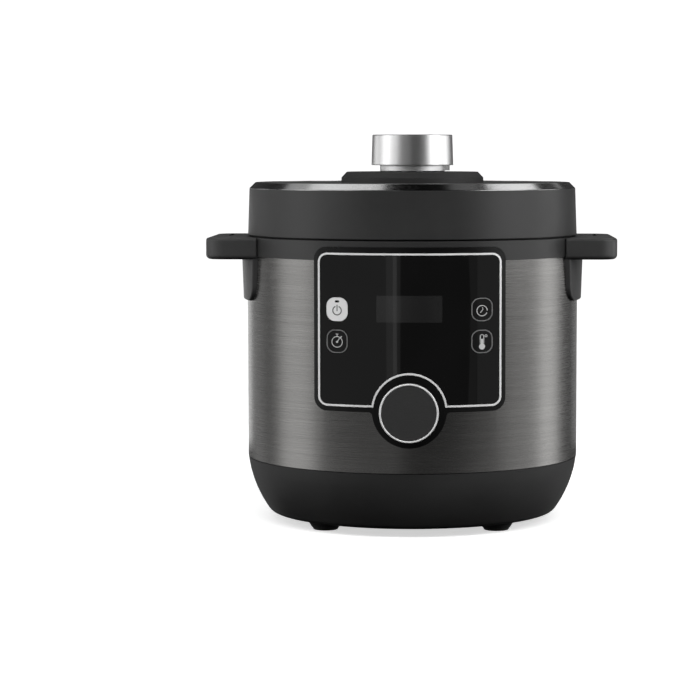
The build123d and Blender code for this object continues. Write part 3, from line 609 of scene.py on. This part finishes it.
def coiled_wire(name, radius, low, high):
    """Round wire wound about Z between two heights, closed at both ends."""
    steps = round((high - low) / SPRING_PITCH * STEPS_PER_TURN)
    corners = []
    for step in range(steps + 1):
        turn = 2 * pi * step / STEPS_PER_TURN
        z = low + (high - low) * step / steps
        for side in range(WIRE_SIDES):
            lean = 2 * pi * side / WIRE_SIDES
            reach = radius + WIRE_R * cos(lean)
            corners.append((reach * cos(turn), reach * sin(turn), z + WIRE_R * sin(lean)))
    faces = [tuple(range(WIRE_SIDES)), tuple(reversed(range(steps * WIRE_SIDES, len(corners))))]
    for step in range(steps):
        for side in range(WIRE_SIDES):
            following = (side + 1) % WIRE_SIDES
            near, far = step * WIRE_SIDES, (step + 1) * WIRE_SIDES
            faces.append((near + side, far + side, far + following, near + following))
    return placed(name, smooth_mesh(name, corners, faces))


spring_low, spring_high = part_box("sensor_spring")
spring = coiled_wire("spring_coil", spring_high.x - WIRE_R, spring_low.z + WIRE_R, spring_high.z - WIRE_R)
spring.data.materials.append(finishes["satin_steel"])
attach(spring, "housing")
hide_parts("sensor_spring")
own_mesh(spring)


# ---------------------------------------------------------------- studio
FLOOR_R, BEND, BACKDROP_TOP = 3.6, 1.2, 5.0
BEND_STEPS = 16
SEGMENTS = 96
SHINE_Z = -0.45
SHINE_INNER_R, SHINE_OUTER_R = 1.05, 3.2
COOKER_MIDDLE = Vector((0, 0, 0.16))


def pale_paper():
    """Overexposed white paper: it glows a little, and more towards the backdrop."""
    made = Maker("pale_paper")
    fibre = made.noise(made.position(), 300, 4, 0.6)
    made.colour_from(fibre, (0.3, grey(0.90)), (0.7, grey(0.94)))
    made.set(Roughness=0.9, Specular_IOR_Level=0.1, Emission_Color=(1.0, 1.0, 1.0))
    away = made.node("VectorMath", operation="LENGTH")
    made.link(made.position(), away.inputs[0])
    glow = made.spread(away.outputs["Value"], 0.6, 1.0, 0.4, 1.8)
    made.link(glow, made.shader.inputs["Emission Strength"])
    return made.material


def table_shine():
    """What polished sides mirror of the table: brighter near the cooker, and to its left and right."""
    made = Maker("table_shine")
    angle, _, radius = made.cylindrical()
    sideways = made.math("ABSOLUTE", made.math("SINE", angle))
    near = made.spread(radius, 0.42, 0.3, 1.5, 2.6)
    beside = made.spread(sideways, 0.2, 1.0, 0.1, 0.75)
    made.set(Base_Color=(0.0, 0.0, 0.0), Roughness=1.0, Specular_IOR_Level=0.0)
    made.set(Emission_Color=(1.0, 1.0, 1.0))
    made.link(made.math("MULTIPLY", near, beside), made.shader.inputs["Emission Strength"])
    return made.material


def turned_sheet(name, profile, material):
    """Sheet turned about Z along (radius, z) points."""
    corners = []
    for radius, z in profile:
        for step in range(SEGMENTS):
            turn = 2 * pi * step / SEGMENTS
            corners.append((radius * cos(turn), radius * sin(turn), z))
    faces = []
    for row in range(len(profile) - 1):
        for step in range(SEGMENTS):
            following = (step + 1) % SEGMENTS
            faces.append((row * SEGMENTS + step, row * SEGMENTS + following,
                          (row + 1) * SEGMENTS + following, (row + 1) * SEGMENTS + step))
    made = placed(name, smooth_mesh(name, corners, faces))
    made.data.materials.append(material)
    return made


paper = pale_paper()
slopes = [pi / 2 * step / BEND_STEPS for step in range(BEND_STEPS + 1)]
rising = [(FLOOR_R + BEND * sin(slope), BEND - BEND * cos(slope)) for slope in slopes]
floor = turned_sheet("studio_floor", [(0.001, 0.0), (0.5, 0.0), (1.5, 0.0), (FLOOR_R, 0.0)], paper)
backdrop = turned_sheet("studio_backdrop", rising + [(FLOOR_R + BEND, BACKDROP_TOP)], paper)
for sheet in (floor, backdrop):
    sheet.visible_glossy = False
    sheet.visible_diffuse = False
shine_ring = [(SHINE_INNER_R, SHINE_Z), (SHINE_OUTER_R, SHINE_Z)]
shine = turned_sheet("studio_table_shine", shine_ring, table_shine())
shine.visible_camera = False
shine.visible_diffuse = False
shine.visible_shadow = False


def softbox(name, azimuth, elevation, distance, size, radiance, mirrored=True):
    """Rectangular light aimed at the cooker's middle. Azimuth is in degrees from the front, towards +X."""
    light = bpy.data.lights.new(name, "AREA")
    light.shape = "RECTANGLE"
    light.size, light.size_y = size
    light.energy = radiance * pi * size[0] * size[1]
    made = placed(name, light)
    turn, tilt = radians(azimuth), radians(elevation)
    away = Vector((sin(turn) * cos(tilt), -cos(turn) * cos(tilt), sin(tilt)))
    made.location = COOKER_MIDDLE + away * distance
    made.rotation_euler = (-away).to_track_quat("-Z", "Y").to_euler()
    made.visible_camera = False
    made.visible_glossy = mirrored


# A part of the round wall that faces azimuth a mirrors, to the camera in front, a light near azimuth 2a.
softbox("side_left", -82.5, 4, 1.5, (0.9, 1.2), 1.25)
softbox("side_left_dim", -128, 4, 1.5, (0.5, 1.2), 0.42)
softbox("back_left", -148, -3, 0.7, (0.26, 0.28), 1.3)
softbox("side_right", 83, 8, 1.5, (1.15, 1.5), 0.5)
softbox("edge_right", 106, 0, 1.4, (0.5, 0.7), 1.75)
softbox("back_right", 148, -3, 0.7, (0.2, 0.28), 0.4)
softbox("top_left", -108, 67, 1.4, (0.45, 0.72), 1.3)
softbox("top_left_dim", -127, 47, 1.4, (0.4, 0.25), 0.55)
softbox("top_right", 121, 54, 1.4, (0.4, 0.52), 1.6)
softbox("top_right_dim", 95, 72, 1.4, (0.3, 0.25), 0.18)
softbox("knob_left", -116, 7, 1.5, (0.7, 0.14), 1.5)
softbox("knob_right", 120, 7, 1.5, (0.5, 0.14), 0.98)
softbox("front_left", -34, 6, 2.4, (2.5, 2.2), 0.11)
softbox("front_strip", -10.2, 6, 2.4, (0.1, 2.2), 0.24)
softbox("front_strip_dim", -13.5, 6, 2.4, (0.2, 2.2), 0.09)
softbox("front_right", 53, 4, 2.4, (0.8, 1.6), 0.12)
softbox("front_right_dim", 40.5, 4, 2.4, (0.24, 1.6), 0.06)
softbox("high_left", -62, 21.5, 1.5, (1.3, 0.9), 1.2)
softbox("high_right", 67, 21, 1.5, (1.0, 0.9), 2.6)
softbox("front_high", 5, 48, 1.8, (2.2, 1.1), 3.8, mirrored=False)
softbox("top_back", 178, 42, 2.4, (2.4, 1.2), 0.5)


def studio_world():
    """Dim room: a little light from the sides, almost none from straight above or below."""
    world = bpy.data.worlds.new("studio")
    world.use_nodes = True
    tree = world.node_tree
    split = tree.nodes.new("ShaderNodeSeparateXYZ")
    ramp = tree.nodes.new("ShaderNodeMapRange")
    ramp.inputs["From Min"].default_value = 0.2
    ramp.inputs["From Max"].default_value = 0.75
    ramp.inputs["To Min"].default_value = 0.05
    ramp.inputs["To Max"].default_value = 0.004
    slope = tree.nodes.new("ShaderNodeMath")
    slope.operation = "ABSOLUTE"
    place = tree.nodes.new("ShaderNodeTexCoord")
    tree.links.new(place.outputs["Generated"], split.inputs[0])
    tree.links.new(split.outputs[2], slope.inputs[0])
    tree.links.new(slope.outputs[0], ramp.inputs["Value"])
    tree.links.new(ramp.outputs[0], tree.nodes["Background"].inputs["Strength"])
    tree.nodes["Background"].inputs["Color"].default_value = (1, 1, 1, 1)
    return world


bpy.context.scene.world = studio_world()
bpy.context.scene.view_settings.view_transform = "Standard"
bpy.context.scene.view_settings.look = "None"


# ---------------------------------------------------------------- camera
CAMERA_DISTANCE, CAMERA_HEIGHT = 1.9954, 0.3011
CAMERA_PITCH, CAMERA_TURN = radians(4.665), radians(1.0)
SENSOR_WIDTH = 36.0
FOCAL_LENGTH = 124.96
SIDE_SHIFT = -0.0891  # the cooker stands right of the picture's middle
camera = placed("camera", bpy.data.cameras.new("camera"))
camera.location = (CAMERA_DISTANCE * sin(CAMERA_TURN), -CAMERA_DISTANCE * cos(CAMERA_TURN), CAMERA_HEIGHT)
camera.rotation_euler = (pi / 2 - CAMERA_PITCH, 0, CAMERA_TURN)
camera.data.sensor_width = SENSOR_WIDTH
camera.data.lens = FOCAL_LENGTH
camera.data.shift_x = SIDE_SHIFT
camera.data.clip_end = 20
bpy.context.scene.camera = camera
